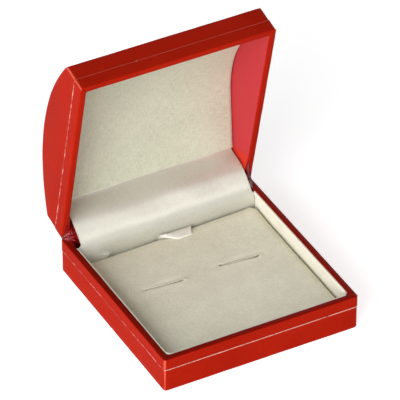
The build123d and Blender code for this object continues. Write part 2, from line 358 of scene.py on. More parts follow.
def layOn(piece, place):
    # place gives a unit grid's points their places in millimetres, from 0 to 1 across and along
    for vertex in piece.data.vertices:
        vertex.co = Vector(place(vertex.co.x + 0.5, vertex.co.y + 0.5)) * mm
    piece.data.update()


def thicken(piece, thick, seen):
    # gives a sheet its thickness on the side away from where it is seen
    toward = sum(f.normal.dot(Vector(seen) * mm - f.center) * f.area for f in piece.data.polygons)
    if toward < 0:
        piece.data.flip_normals()
    modify(piece, "SOLIDIFY", thickness=thick * mm, offset=-1)


# Materials

coverLook = {
    "deep": (0.33, 0.008, 0.0018),
    "clear": (0.42, 0.014, 0.0035),
    "pebble": 0.45,
    "grain": 0.035,
    "puff": 0.07,
    "rough": (0.42, 0.56),
    "gloss": 0.02,
    "cornerHighlight": (0.72, 0.16, 0.11),  # painted highlight down the rounded corners
    "cornerAt": 90.12,  # distance out along both sides, on the band
    "cornerSoft": 0.18,
    "rimShade": (0.2, 0.005, 0.0015),  # painted shade: the base's rim top, darker where it faces up
    "rimAt": (16.1, 16.42),
}

# the cover's red leatherette coloured much darker, as painted shade in the crumpled hinge corners
crumpledShadeLook = {
    "deep": (0.11, 0.001, 0.002),
    "clear": (0.32, 0.006, 0.008),
    "pebble": 0.4,
    "grain": 0.03,
    "puff": 0.25,
    "rough": (0.2, 0.34),
    "gloss": 0.35,
    "cornerHighlight": (0.55, 0.03, 0.03),
    "cornerAt": 200,
    "cornerSoft": 1,
    "rimShade": (0.2, 0.005, 0.0015),
    "rimAt": (200, 201),
}


def closedPlace(m):
    # the pattern's place with the lid's half turned back down to closed
    turn = math.radians(box["openAngle"])
    y, z = box["hingeY"] * mm, box["hingeZ"] * mm
    shift = (0, y - y * math.cos(turn) + z * math.sin(turn), z - y * math.sin(turn) - z * math.cos(turn))
    return m.node("ShaderNodeMapping", {}, {"Vector": m.place, "Rotation": (turn, 0, 0), "Location": shift})


def redLeatherette(name, look, onLid=False):
    m = Maker(name)
    drift = m.noise(24, 2)
    pebble = m.cells(look["pebble"])
    fine = m.noise(0.3, 3, 0.6)
    shade = m.step(drift * 0.45 + fine * 0.4 + pebble * 0.3, 0.3, 0.8)
    colour = m.mix(shade, look["deep"], look["clear"])
    x, y, z = m.split(closedPlace(m) if onLid else m.place)
    fromLine = (z / mm - (box["rimZ"] + box["lidBand"])) * -1 if onLid else z / mm - box["baseLineZ"]
    out = (x.maths("ABSOLUTE") + y.maths("ABSOLUTE")) / mm
    out = out + (1 - m.step(fromLine, -0.1, 0.1)) * (2 * box["bandStep"])
    # painted highlight: a pale line down the rounded corners of the cover, broken up by noise
    corner = m.step(out, look["cornerAt"], look["cornerAt"] + look["cornerSoft"])
    cornerHighlight = corner * m.between(m.noise(1.6, 3, 0.6), 0.1, 1.0)
    colour = m.mix(cornerHighlight, colour, look["cornerHighlight"])
    # painted shade on the top of the base's rim
    if not onLid:
        colour = m.mix(m.step(z / mm, *look["rimAt"]), colour, look["rimShade"])
    normal = m.bump(pebble * 0.7 + fine * 0.3, look["grain"])
    normal = m.bump(m.noise(3.2, 2), look["puff"], normal)
    rough = m.between(drift, *look["rough"])
    return m.finish(Base_Color=colour, Roughness=rough, Normal=normal, Specular_IOR_Level=look["gloss"])


liningLook = {
    "deep": (0.42, 0.018, 0.026),
    "clear": (0.55, 0.027, 0.037),
    "turned": (0.56, 0.022, 0.006),  # painted light: the facet where the sheet turns back by the hinge, coloured orange-red for the light it catches
    "turnAt": 0.8815,  # share of the sheet's length at its low edge
    "turnLean": 0.0633,
    "turnSoft": 0.006,
}


def redLining():
    look = liningLook
    m = Maker("redLining")
    along, across, _ = m.split(m.cloth(1 / mm, 1 / mm))
    fine = m.noise(0.5, 3, 0.6)
    plainRed = m.mix(m.step(fine, 0.3, 0.7), look["deep"], look["clear"])
    # painted light on the turned-back facet
    turned = m.step(along - across * look["turnLean"], look["turnAt"], look["turnAt"] + look["turnSoft"])
    colour = m.mix(turned, plainRed, look["turned"])
    normal = m.bump(fine, 0.03)
    return m.finish(Base_Color=colour, Roughness=0.55, Normal=normal, Specular_IOR_Level=0.2,
                    Sheen_Weight=0.08, Sheen_Roughness=0.4, Sheen_Tint=(1.0, 0.5, 0.6))


foilLook = {
    "bright": (0.80, 0.42, 0.34),
    "pale": (0.88, 0.66, 0.58),
    "worn": (0.46, 0.035, 0.02),
    "patch": 2.6,
    "frontY": (-45.2, -45.7),  # the front side keeps its foil, the other sides are rubbed
}


def foilMaterial(name, frontWear, sideWear, onLid=False):
    # wear from 0, whole, to about 1, rubbed away
    look = foilLook
    m = Maker(name)
    _, y, _ = m.split(closedPlace(m) if onLid else m.place)
    side = 1 - m.step(y / mm * -1, -look["frontY"][0], -look["frontY"][1])
    level = m.between(side, frontWear, sideWear)
    wear = m.step(m.noise(look["patch"], 4, 0.65) + level, 0.85, 1.05)
    bright = m.mix(m.noise(0.7, 2), look["bright"], look["pale"])
    colour = m.mix(wear, bright, look["worn"])
    normal = m.bump(m.noise(0.35, 2), 0.03)
    return m.finish(Base_Color=colour, Roughness=m.between(wear, 0.3, 0.5),
                    Metallic=m.between(wear, 0.3, 0.0), Normal=normal)


slit = {
    "y": 5.0,
    "middles": (-18.3, 16.7),
    "half": 8.1,
    "lean": 1.0,  # how far the right end comes forward
    "gaps": (0.1, 0.62),  # from the middle line to each lip
    "bow": 0.2,
    "lip": 0.3,
    "depth": 0.35,
    "swell": 0.3,
    "reach": 2.6,
    "dimple": 0.4,
    "pucker": 0.35,
    "line": (0.08, 0.4),  # where the painted shade of the cut ends, from its middle
    # painted shade inside the cuts and in dots at their ends
    "cutShade": (0.2, 0.175, 0.11),
    "shadeDots": ((-26.6, 5.0, 0.35), (8.3, 5.0, 0.6), (24.9, 3.0, 0.55), (-11.6, 3.2, 0.4)),
}


def paintedSlitShade(m):
    # painted shade in the cuts in the velvet, and in dots at their ends
    x, y, _ = m.split(m.place)
    total = 0.0
    for middle, gap in zip(slit["middles"], slit["gaps"]):
        u = (x / mm - middle) / slit["half"]
        off = y / mm - slit["y"] + (u + 1) * slit["lean"]
        off = (off + (u * 3 + middle).maths("SINE") * slit["bow"]).maths("ABSOLUTE")
        opening = (1 - u * u).maths("MAXIMUM", 0.0).maths("SQRT") * gap
        near = 1 - m.step((off - opening).maths("ABSOLUTE"), *slit["line"])
        inside = 1 - m.step(u.maths("ABSOLUTE"), 0.97, 1.03)
        total = near * inside * m.between(m.step(u, -0.6, 1.0), 0.5, 1.0) + total
    for dotX, dotY, radius in slit["shadeDots"]:
        away = ((x / mm - dotX) ** 2 + (y / mm - dotY) ** 2).maths("SQRT")
        total = 1 - m.step(away, radius * 0.4, radius * 1.3) + total
    return total.maths("MINIMUM", 1.0)


def pile(name, look, shadeCuts=False):
    # short velvet pile: fine speckle over soft brushed patches
    m = Maker(name)
    speckle = m.noise(look["speckle"], 4, 0.7)
    brushed = m.noise(9, 3, 0.6)
    shade = m.step(speckle * 0.75 + brushed * 0.35, 0.3, 0.8)
    colour = m.mix(shade, look["deep"], look["clear"])
    # painted shade in the slits
    if shadeCuts:
        colour = m.mix(paintedSlitShade(m), colour, slit["cutShade"])
    normal = m.bump(speckle, look["nap"])
    normal = m.bump(brushed, 0.12, normal)
    return m.finish(Base_Color=colour, Roughness=0.92, Normal=normal, Specular_IOR_Level=0.15,
                    Sheen_Weight=look["sheen"], Sheen_Roughness=0.45)


def woven(name, look, width, length):
    # threads that run both ways, with uneven slubs
    m = Maker(name)
    flat = m.cloth(width, length)
    across = m.noise(look["thread"], 3, 0.6, m.stretch(1 / look["slub"], 1, 1, flat))
    along = m.noise(look["thread"], 3, 0.6, m.stretch(1, 1 / look["slub"], 1, flat))
    fine = m.noise(0.3, 2, 0.6, flat)
    threads = across * look["weft"] + along * look["warp"] + fine * 0.15
    brushed = m.noise(18, 2)
    shade = m.step(threads + brushed * 0.2, 0.35, 0.85)
    colour = m.mix(shade, look["deep"], look["clear"])
    normal = m.bump(threads, look["relief"])
    rough = m.between(along, *look["rough"])
    return m.finish(Base_Color=colour, Roughness=rough, Normal=normal, Specular_IOR_Level=look["gloss"],
                    Metallic=look["metal"], Sheen_Weight=look["sheen"], Sheen_Roughness=0.35)


def grained(name, deep, clear, size, rough, metallic=0.0, relief=0.03, pull=(1, 1, 1)):
    # moulded, papery or brushed, by its size and how the grain is pulled
    m = Maker(name)
    grain = m.noise(size, 4, 0.6, m.stretch(*pull))
    colour = m.mix(m.step(grain, 0.3, 0.7), deep, clear)
    normal = m.bump(grain, relief)
    return m.finish(Base_Color=colour, Roughness=m.between(grain, *rough), Metallic=metallic, Normal=normal)


velvetLook = {"deep": (0.68, 0.665, 0.525), "clear": (0.86, 0.84, 0.69), "speckle": 0.75, "nap": 0.1, "sheen": 0.12}
flockLook = {"deep": (0.64, 0.615, 0.52), "clear": (0.76, 0.73, 0.63), "speckle": 0.5, "nap": 0.04, "sheen": 0.1}
linenLook = {"deep": (0.42, 0.425, 0.325), "clear": (0.64, 0.645, 0.51), "thread": 0.45, "slub": 7.0, "weft": 0.5}
linenLook.update({"warp": 0.5, "relief": 0.07, "rough": (0.6, 0.75), "gloss": 0.3, "sheen": 0.12, "metal": 0.0})
satinLook = {"deep": (0.50, 0.485, 0.41), "clear": (0.60, 0.59, 0.515), "thread": 0.45, "slub": 4.0, "weft": 0.4}
satinLook.update({"warp": 0.6, "relief": 0.025, "rough": (0.3, 0.4), "gloss": 0.6, "sheen": 0.1, "metal": 0.22})
ribbonLook = {"deep": (0.72, 0.705, 0.62), "clear": (0.84, 0.825, 0.745), "thread": 0.35, "slub": 10.0, "weft": 0.8}
ribbonLook.update({"warp": 0.1, "relief": 0.02, "rough": (0.42, 0.52), "gloss": 0.3, "sheen": 0.1, "metal": 0.0})

print("materials")
leatherette = redLeatherette("redLeatherette", coverLook)
lidLeatherette = redLeatherette("lidLeatherette", coverLook, True)
shadedCrumpledLeatherette = redLeatherette("shadedCrumpledLeatherette", crumpledShadeLook)
lining = redLining()
foil = foilMaterial("foilLine", 0.32, 0.52)
lidFoil = foilMaterial("lidFoilLine", 0.66, 0.5, True)
flock = pile("creamFlock", flockLook)
velvet = pile("creamVelvet", velvetLook, True)
linen = woven("linenSatin", linenLook, 83.5, 83.5)
satin = woven("creamSatin", satinLook, 80.4, 47.1)
glossyRibbon = woven("glossyRibbon", ribbonLook, 14.8, 18.8)
steel = grained("platedSteel", (0.42, 0.41, 0.39), (0.66, 0.64, 0.61), 0.5, (0.22, 0.4), 1.0, 0.01, (0.08, 1, 1))
rivetMetal = grained("brassRivet", (0.55, 0.42, 0.2), (0.78, 0.63, 0.36), 0.4, (0.22, 0.38), 1.0, 0.01)
shell = grained("mouldedShell", (0.09, 0.07, 0.065), (0.17, 0.14, 0.13), 0.7, (0.42, 0.6))
board = grained("plainBoard", (0.42, 0.35, 0.25), (0.58, 0.50, 0.38), 0.9, (0.75, 0.95), 0.0, 0.05)
card = grained("bowedCard", (0.55, 0.50, 0.40), (0.68, 0.63, 0.52), 1.1, (0.7, 0.9), 0.0, 0.04)
paper = grained("backingPaper", (0.07, 0.010, 0.012), (0.13, 0.022, 0.024), 0.8, (0.7, 0.95), 0.0, 0.05, (1, 0.3, 1))

finishes = [
    ("rivets", rivetMetal),
    ("hinge_strip", leatherette),
    ("hinge", steel),
    ("wrap", leatherette),
    ("lining", lining),
    ("gilt", foil),
    ("card", card),
    ("board", board),
    ("sheet", paper),
    ("shell", shell),
    ("tab", glossyRibbon),
    ("flap", satin),
    ("satin", linen),
    ("liner", flock),
    ("pad", velvet),
]
for name, node in nodes.items():
    choice = next(material for word, material in finishes if word in name)
    node.data.materials.clear()
    node.data.materials.append(choice)

# Leatherette skins, with turned-in rims

skin = {
    "thick": 0.3,
    "rimWidth": 2.8,
    "turnIn": 4.0,
    "underTurn": 14.0,
    "footZ": 0.3,
    "groove": 0.25,  # how deep the foil line's groove is
    "grooveHeight": 0.6,
    "cornerRound": 1.2,
    "rimRound": 0.45,
    "footRound": 0.45,
    "domeRound": 0.55,
    "rollRound": 1.0,
    "wave": 0.07,
    "waveSize": 9.0,
    "cutSpacing": 3.5,
    "shoulderZ": 29.5,
    "domeRadius": 95.56,  # the moulded shell's dome
    "domeMiddleZ": -54.26,
    "crownPuff": 0.75,  # how far the cover stands off the shell at the crown
    "hingeX": 22.0,
    "notchHalf": 8.2,
    "notchDepth": 0.9,  # from the hinge line
}


def halfSize(inset):
    return Vector((box["width"] / 2 - inset, box["depth"] / 2 - inset))


def roundedPlate(name, inset, height, radius=None):
    # the box's outline as one face, its corners rounded, left in edit mode
    half = halfSize(inset)
    clearSelection()
    bpy.ops.mesh.primitive_plane_add(size=2, location=(0, 0, height * mm))
    piece = named(name)
    piece.scale = (half.x * mm, half.y * mm, 1)
    bpy.ops.object.transform_apply(location=True, rotation=True, scale=True)
    editing(piece)
    bpy.ops.mesh.select_all(action="SELECT")
    round = skin["cornerRound"] if radius is None else radius
    bpy.ops.mesh.bevel(offset=round * mm, segments=5, profile=0.5, affect="VERTICES")
    bpy.ops.mesh.select_all(action="SELECT")
    return piece


def drawOn(steps, start):
    # extrudes the selected face on through (inset, height) steps
    inset, height = start
    for nextInset, nextHeight in steps:
        old, new = halfSize(inset), halfSize(nextInset)
        bpy.ops.mesh.extrude_region_move(TRANSFORM_OT_translate={"value": (0, 0, (nextHeight - height) * mm)})
        bpy.ops.transform.resize(value=(new.x / old.x, new.y / old.y, 1), center_override=(0, 0, 0))
        inset, height = nextInset, nextHeight


def onOutline(point):
    # true on the outer of two rings that lie at one height
    reach = skin["rimWidth"] / 2
    return abs(point.x) > box["width"] / 2 - reach or abs(point.y) > box["depth"] / 2 - reach


def pickRings(piece, height, outerOnly=False):
    def test(a, b):
        level = abs(a.z - height) < 0.01 and abs(b.z - height) < 0.01
        if outerOnly:
            return level and onOutline(a) and onOutline(b)
        return level and onOutline(a) == onOutline(b)
    pickEdges(piece, test)


def cutAcross(axis, places):
    # straight cuts through the whole piece, square to an axis
    for place in places:
        at = Vector((0, 0, 0))
        facing = Vector((0, 0, 0))
        at[axis] = place * mm
        facing[axis] = 1
        bpy.ops.mesh.select_all(action="SELECT")
        bpy.ops.mesh.bisect(plane_co=at, plane_no=facing)


def evenly(half, spacing):
    count = int(half / spacing)
    return [k * spacing for k in range(-count, count + 1)]


def wobble(piece, depth, size, seed=0.0):
    # uneven by a little, along each point's own facing
    for vertex in piece.data.vertices:
        vertex.co += vertex.normal * depth * mm * ripple(vertex.co / mm, size, seed)
    piece.data.update()


def rollEdge(piece, rimZ, up):
    # rounds the back edge of a rim, where the two halves roll past each other
    radius = skin["rollRound"]
    middle = Vector((box["depth"] / 2 - radius, rimZ - up * radius))

    def rolled(p):
        arm = Vector((p.y, p.z)) - middle
        if arm.x > 0 and arm.y * up > 0 and arm.length > radius:
            arm = arm.normalized() * radius
        return (p.x, middle.x + arm.x, middle.y + arm.y)
    shiftPoints(piece, rolled)


def notchCutters(low, high):
    for side in (-1, 1):
        middle = side * skin["hingeX"]
        near = box["depth"] / 2 - skin["rimWidth"] - 1
        half = skin["notchHalf"]
        yield addBlock("notch", (middle - half, near, low), (middle + half, box["depth"] / 2 + 1, high))


def finishSkin(piece, seed):
    wobble(piece, skin["wave"], skin["waveSize"], seed)
    modify(piece, "SOLIDIFY", thickness=skin["thick"] * mm, offset=-1)


def makeBaseSkin():
    foot, line, top = skin["footZ"], box["baseLineZ"], box["baseHeight"]
    step = box["bandStep"]
    piece = roundedPlate("baseSkin", step, foot)
    drawOn([
        (step, line),
        (skin["groove"], line + 0.01),
        (skin["groove"], line + skin["grooveHeight"]),
        (0, line + skin["grooveHeight"] + 0.04),
        (0, top),
        (skin["rimWidth"], top),
        (skin["rimWidth"], top - skin["turnIn"]),
    ], (step, foot))
    bpy.ops.mesh.delete(type="FACE")
    pickFaces(piece, lambda c, n: n.z < -0.9 and c.z < foot + 0.1)
    drawOn([(skin["underTurn"], foot)], (step, foot))
    bpy.ops.mesh.delete(type="FACE")
    pickRings(piece, top)
    bevel(skin["rimRound"], 3)
    pickRings(piece, foot, outerOnly=True)
    bevel(skin["footRound"], 3)
    cutAcross(0, evenly(box["width"] / 2 - 1, skin["cutSpacing"]))
    cutAcross(1, evenly(box["depth"] / 2 - 1, skin["cutSpacing"]))
    cutAcross(2, (3.5, 6.0, 8.5, 13.0, 14.6))
    done()
    rollEdge(piece, top, 1)
    finishSkin(piece, 1.0)
    cutAway(piece, notchCutters(box["hingeZ"] - skin["notchDepth"], top + 1))
    soften(piece)
    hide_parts("base_wrap")
    return dress(piece, leatherette, "base")


def domeZ(y):
    ease = 0.5 if y > 0 else 0.1  # the padding runs out to the front shoulder
    puff = skin["crownPuff"] * (1 - ease * (2 * y / box["depth"]) ** 2)
    return skin["domeMiddleZ"] + math.sqrt(skin["domeRadius"] ** 2 - y * y) + puff


def makeLidSkin():
    # made as the closed lid, then turned open
    low, line, top = box["rimZ"], box["rimZ"] + box["lidBand"], skin["shoulderZ"]
    grooveLow = line - skin["grooveHeight"]
    step = box["bandStep"]
    piece = roundedPlate("lidSkin", 0, low)
    drawOn([
        (0, grooveLow - 0.04),
        (skin["groove"], grooveLow),
        (skin["groove"], line),
        (step, line + 0.01),
        (step, top),
    ], (0, low))
    pickFaces(piece, lambda c, n: n.z < -0.9 and c.z < low + 0.1)
    drawOn([(skin["rimWidth"], low), (skin["rimWidth"], low + skin["turnIn"])], (0, low))
    bpy.ops.mesh.delete(type="FACE")
    pickRings(piece, low)
    bevel(skin["rimRound"], 3)
    pickRings(piece, top, outerOnly=True)
    bevel(skin["domeRound"], 4)
    cutAcross(0, evenly(box["width"] / 2 - 1, skin["cutSpacing"]))
    cutAcross(1, evenly(box["depth"] / 2 - 1, skin["cutSpacing"] / 2))
    cutAcross(2, (18.6, 20.4, 24.5, 26.5))
    done()
    rollEdge(piece, low, -1)
    rounded = top - skin["domeRound"]
    shiftPoints(piece, lambda p: (p.x, p.y, p.z + domeZ(p.y) - top if p.z > rounded - 0.01 else p.z))
    finishSkin(piece, 2.0)
    cutAway(piece, notchCutters(low - 1, box["hingeZ"] + skin["notchDepth"]))
    shiftPoints(piece, opened)
    soften(piece)
    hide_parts("lid_wrap")
    return dress(piece, lidLeatherette, "lid")


# Foil lines, stamped into a groove beside each band

foilBead = {"inset": 0.3, "proud": -0.03, "low": 0.12, "height": 0.25, "slope": 0.04, "uneven": 0.035}


def makeFoilLine(name, node, body, low):
    inner, outer = foilBead["inset"], foilBead["proud"]
    slope = foilBead["slope"]
    bottom = low + foilBead["low"]
    top = bottom + foilBead["height"]
    piece = roundedPlate(name, inner, bottom)
    drawOn([(outer, bottom + slope), (outer, top - slope), (inner, top)], (inner, bottom))
    bpy.ops.mesh.delete(type="FACE")
    pickFaces(piece, lambda c, n: n.z < -0.9 and c.xy.length < 1)
    bpy.ops.mesh.delete(type="FACE")
    pickRings(piece, bottom)
    shape = bmesh.from_edit_mesh(piece.data)
    for edge in shape.edges:
        edge.select_set(edge.is_boundary)
    bmesh.update_edit_mesh(piece.data)
    bpy.ops.mesh.bridge_edge_loops()
    cutAcross(0, evenly(box["width"] / 2 - 1, 1.5))
    cutAcross(1, evenly(box["depth"] / 2 - 1, 1.5))
    bpy.ops.mesh.select_all(action="SELECT")
    bpy.ops.mesh.normals_make_consistent(inside=False)
    done()
    wobble(piece, foilBead["uneven"], 2.2, low)
    if body == "lid":
        shiftPoints(piece, opened)
    soften(piece, 60)
    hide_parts(node)
    return dress(piece, lidFoil if body == "lid" else foil, body)


# Small folds of leatherette where the cover is tucked in at a rim's corner

tuck = {"size": 2.7, "edge": 0.2, "lift": 0.13, "ridge": 0.3, "ridgeWidth": 0.26, "cuts": 20}


def tuckPoint(u, v):
    # the front right corner of a rim at height 0, rising to a ridge along the diagonal
    half = halfSize(0)
    inner = (half.x - tuck["size"], -half.y + tuck["size"])
    size = tuck["size"] - tuck["edge"]
    x = inner[0] + u * size
    y = inner[1] - v * size
    across = (u - v) * size / math.sqrt(2)
    border = min(u, v, 1 - u, 1 - v)
    lift = tuck["lift"] * min(1, border * 6) - 0.06
    lift += tuck["ridge"] * math.exp(-((across / tuck["ridgeWidth"]) ** 2)) * min(1, border * 8)
    lift += 0.05 * math.sin(u * 9 + v * 4) * border
    return (x, y, lift)


def makeTucks():
    first = addGrid("cornerTuck", tuck["cuts"], tuck["cuts"])
    layOn(first, tuckPoint)
    editing(first)
    bpy.ops.mesh.select_all(action="SELECT")
    bpy.ops.mesh.normals_make_consistent(inside=False)
    done()
    if first.data.polygons[0].normal.z < 0:
        first.data.flip_normals()
    modify(first, "SOLIDIFY", thickness=0.12 * mm, offset=-1)
    places = {"FrontRight": (1, 1), "FrontLeft": (-1, 1), "BackRight": (1, -1), "BackLeft": (-1, -1)}
    for body, rim, up in (("base", box["baseHeight"], 1), ("lid", box["rimZ"], -1)):
        for place, (sideX, sideY) in places.items():
            if place.startswith("Back"):
                continue  # the hinge strips cover the back corners
            copy = bpy.data.objects.new(body + "Tuck" + place, first.data.copy())
            copy.data.name = copy.name
            bpy.context.scene.collection.objects.link(copy)
            shiftPoints(copy, lambda p: (p.x * sideX, p.y * sideY, rim + up * p.z))
            if sideX * sideY * up < 0:
                copy.data.flip_normals()
            if body == "lid":
                shiftPoints(copy, opened)
            soften(copy, 60)
            dress(copy, lidLeatherette if body == "lid" else leatherette, body)
    bpy.data.objects.remove(first)


print("leatherette skins")
makeBaseSkin()
makeLidSkin()
makeFoilLine("baseFoil", "base_gilt_line", "base", box["baseLineZ"])
makeFoilLine("lidFoil", "lid_gilt_line", "lid", box["rimZ"] + box["lidBand"] - skin["grooveHeight"] + 0.12)
makeTucks()

# Cream strip round the inside of the base

wallLining = {
    "thick": 0.5,
    "low": 2.2,
    "high": 16.3,
    "backY": 37.2,
    "corner": 2.5,
    "topRoll": 0.22,
    "topSwell": 0.3,  # the strip is thicker along its top edge
    "uneven": 0.06,
    "edgeRound": 0.14,
}


def makeWallLining():
    inset = skin["rimWidth"] + wallLining["thick"]
    half = halfSize(inset)
    back = wallLining["backY"]
    turns = [wallLining["corner"]] * 2
    path = Path(bendLine([(half.x, back), (half.x, -half.y), (-half.x, -half.y), (-half.x, back)], turns))
    piece = addGrid("wallLining", 200, 14)
    height = wallLining["high"] - wallLining["low"]

    def place(u, v):
        spot, outward = path.at(u * path.length)
        z = wallLining["low"] + v * height
        near = max(0.0, (v - 0.93) / 0.07)
        away = wallLining["topRoll"] * near * near
        away += wallLining["uneven"] * ripple((spot.x, spot.y, z * 2), 11, 4) * min(1, v * 4)
        return (spot.x + outward.x * away, spot.y + outward.y * away, z)
    layOn(piece, place)
    thicken(piece, wallLining["thick"], (0, 0, 10))
    editing(piece)
    pickFaces(piece, lambda c, n: c.z > wallLining["high"] - 0.8 and abs(n.z) < 0.5 and n.xy.dot(c.xy) < 0)
    bpy.ops.transform.shrink_fatten(value=wallLining["topSwell"] * mm)
    done()
    modify(piece, "BEVEL", width=wallLining["edgeRound"] * mm, segments=2, limit_method="ANGLE", angle_limit=1.0)
    soften(piece)
    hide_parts("base_wall_liner")
    return dress(piece, flock, "base")


# Bowed panel of the lid, woven satin drawn over a card

panel = {
    "backY": 37.8,
    "frontY": -42.6,
    "crownY": -1.6,
    "peakZ": 41.83,
    "slope": 17.2,
    "bend": 48.0,
    "width": 83.5,
    "card": 0.5,
    "loft": 0.3,
    "edge": 1.0,  # how wide the rolled edge is
    "wrap": 0.55,
    "uneven": 0.1,
    "thick": 0.15,
}


def panelZ(y):
    return panel["peakZ"] - abs(y - panel["crownY"]) * math.tan(math.radians(panel["slope"]))


def makePanel():
    stops = [panel["backY"] + 0.1, panel["crownY"], panel["frontY"] - 0.1]
    path = Path(bendLine([(y, panelZ(y)) for y in stops], [panel["bend"]]))
    piece = addGrid("lidPanel", 120, 120)

    def place(u, v):
        spot, inward = path.at(v * path.length)
        x = (u - 0.5) * panel["width"]
        border = min(u * panel["width"], (1 - u) * panel["width"], v * path.length, (1 - v) * path.length)
        near = max(0.0, 1 - border / panel["edge"])
        lift = panel["card"] + panel["loft"] - panel["wrap"] * (1 - math.sqrt(max(0.0, 1 - near * near)))
        lift += panel["uneven"] * ripple((x, v * 80, 0), 26, 8) * (1 - near)
        return opened((x, spot.x + inward.x * lift, spot.y + inward.y * lift))
    layOn(piece, place)
    thicken(piece, panel["thick"], opened((0, 0, -60)))
    soften(piece, 60)
    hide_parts("lid_panel_satin")
    dress(piece, linen, "lid")


# Satin flap, from under the panel, over the hinge and down behind the cushion

flap = {
    "frontY": 36.25,
    "low": 3.2,
    "kneeZ": 15.9,
    "crest": (46.4, 24.25),
    "kneeRound": 8.0,
    "seamRound": 0.9,
    "seamY": 38.3,
    "underDome": 93.06,  # radius of the dome that it is glued under
    "margin": 10.0,
    "middle": 0.7,
    "width": 80.4,
    "widerLeft": 1.95,
    "widerRight": 0.6,
    "thick": 0.7,
    "bulge": 1.5,  # how far it sags over the cushion at the lower left
    "bulgeEndX": -30.4,
    "crease": 2.2,
    "creaseWidth": 0.55,
    "uneven": 0.3,
    "ease": 3.0,
}


def smooth(value, low, high):
    share = min(1.0, max(0.0, (value - low) / (high - low)))
    return share * share * (3 - 2 * share)


def underDomePoint(y):
    return opened((0, y, skin["domeMiddleZ"] + math.sqrt(flap["underDome"] ** 2 - y * y))).yz


def flapPath():
    points = [
        (flap["frontY"], flap["low"]),
        (flap["frontY"], flap["kneeZ"]),
        flap["crest"],
        underDomePoint(flap["seamY"]),
        underDomePoint(flap["seamY"] - flap["margin"]),
    ]
    return Path(bendLine(points, [flap["kneeRound"], flap["kneeRound"], flap["seamRound"]]))


def makeFlap():
    path = flapPath()
    piece = addGrid("satinFlap", 150, 150)
    editing(piece)
    pickFaces(piece, lambda c, n: 105 < c.x + 500 < 210 and 60 < c.y + 500 < 180)  # round the crease
    bpy.ops.mesh.subdivide(number_cuts=2, smoothness=0)
    done()

    def eased(distance):
        # evens out the path's turns, as a soft cloth does
        reach = min(flap["ease"], distance, path.length - distance)
        spots = [path.at(distance + reach * k / 2)[0] for k in range(-2, 3)]
        onward = spots[4] - spots[0]
        facing = Vector((-onward.y, onward.x)).normalized() if reach > 0.1 else path.at(distance)[1]
        return sum(spots, Vector((0, 0))) / 5, facing

    def place(u, v):
        spot, outward = eased(v * path.length)
        z = spot.y
        early = 1 - smooth(v, 0.45, 0.55)
        # below the rim the flap widens to meet the cream strip
        wide = (1 - smooth(z, 15.0, 16.6)) * early
        left = flap["middle"] - flap["width"] / 2 - flap["widerLeft"] * wide
        right = flap["middle"] + flap["width"] / 2 + flap["widerRight"] * wide
        x = left + u * (right - left)
        # the bulge ends at a fold that hooks up to the right
        end = flap["bulgeEndX"] + 2.2 * (min(max(z, 7.0), 9.4) - 7.6)
        softness = 0.5 + 7 * smooth(z, 8.6, 11.5)
        sag = (1 - smooth(x, end - softness, end)) * smooth(z, 6.8, 7.6) * (1 - smooth(z, 8.4, 15.5))
        lift = flap["bulge"] * sag * early
        crease = math.exp(-(((x - end - 0.4) / flap["creaseWidth"]) ** 2))
        lift -= flap["crease"] * crease * smooth(z, 6.4, 7.2) * (1 - smooth(z, 8.7, 9.3)) * early
        loose = smooth(v, 0.03, 0.12) * (1 - smooth(v, 0.7, 0.8))
        lift += flap["uneven"] * ripple((x, v * 60, 0), 17, 3) * loose
        lift += 0.05 * ripple((x, v * 20, 5), 2.6, 6) * loose
        return (x, spot.x + outward.x * lift, spot.y + outward.y * lift)
    layOn(piece, place)
    thicken(piece, flap["thick"], (0, -40, 60))
    modify(piece, "BEVEL", width=0.12 * mm, segments=2, limit_method="ANGLE", angle_limit=1.0)
    soften(piece, 60)
    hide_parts("satin_flap", "flap_paper")
    piece.data.materials.clear()
    piece.data.materials.append(satin)
    end = Vector((0, *underDomePoint(flap["seamY"]))) * mm
    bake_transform(piece)


# Cushion: wadding under velvet, with two slits for the cufflink posts

cushion = {
    "halfWidth": 41.62,
    "frontY": -42.5,
    "backY": 35.8,
    "low": 2.2,
    "top": 10.0,
    "corner": 2.5,
    "edge": 0.6,
    "edgeReach": 2.2,  # how much of the top's edge is drawn out square
    "square": (0.6, 0.011, 0.01, 35.0),  # how square it is: in the middle, per mm in x and y, from this y
    "backDrop": (-0.75, 0.038, -1.4, 18.0, 35.5),  # in the middle, per mm in x, at most, from and to this y
    "crown": 0.35,
    "scale": 20,  # the cloth is simulated this much larger
    "voxel": 1.3,
    "pressure": 4.0,
    "mostMove": 0.6,
    "frames": 20,
}

def simulateCushion(piece):
    group = piece.vertex_groups.new(name="held")
    low = (cushion["low"] + 2.5) * mm * cushion["scale"]
    held = [v.index for v in piece.data.vertices if v.co.z < low]
    slits = []
    for v in piece.data.vertices:
        spot = v.co / (mm * cushion["scale"])
        for middle in slit["middles"]:
            if abs(spot.x - middle) < slit["half"] and abs(spot.y - slit["y"]) < 1.3:
                slits.append(v.index)
    group.add(held, 1.0, "REPLACE")
    group.add(slits, 0.8, "ADD")
    before = [v.co.copy() for v in piece.data.vertices]
    only(piece)
    cloth = piece.modifiers.new("cloth", "CLOTH")
    cloth.settings.use_pressure = True
    cloth.settings.uniform_pressure_force = cushion["pressure"]
    cloth.settings.vertex_group_mass = "held"
    cloth.settings.effector_weights.gravity = 0
    cloth.point_cache.frame_start = 1
    cloth.point_cache.frame_end = cushion["frames"]
    for frameNumber in range(1, cushion["frames"] + 1):
        bpy.context.scene.frame_set(frameNumber)
    only(piece)
    bpy.ops.object.modifier_apply(modifier="cloth")
    bpy.context.scene.frame_set(1)
    most = cushion["mostMove"] * mm * cushion["scale"]
    for vertex, old in zip(piece.data.vertices, before):
        move = vertex.co - old
        if move.length > most:
            vertex.co = old + move.normalized() * most
    piece.vertex_groups.clear()


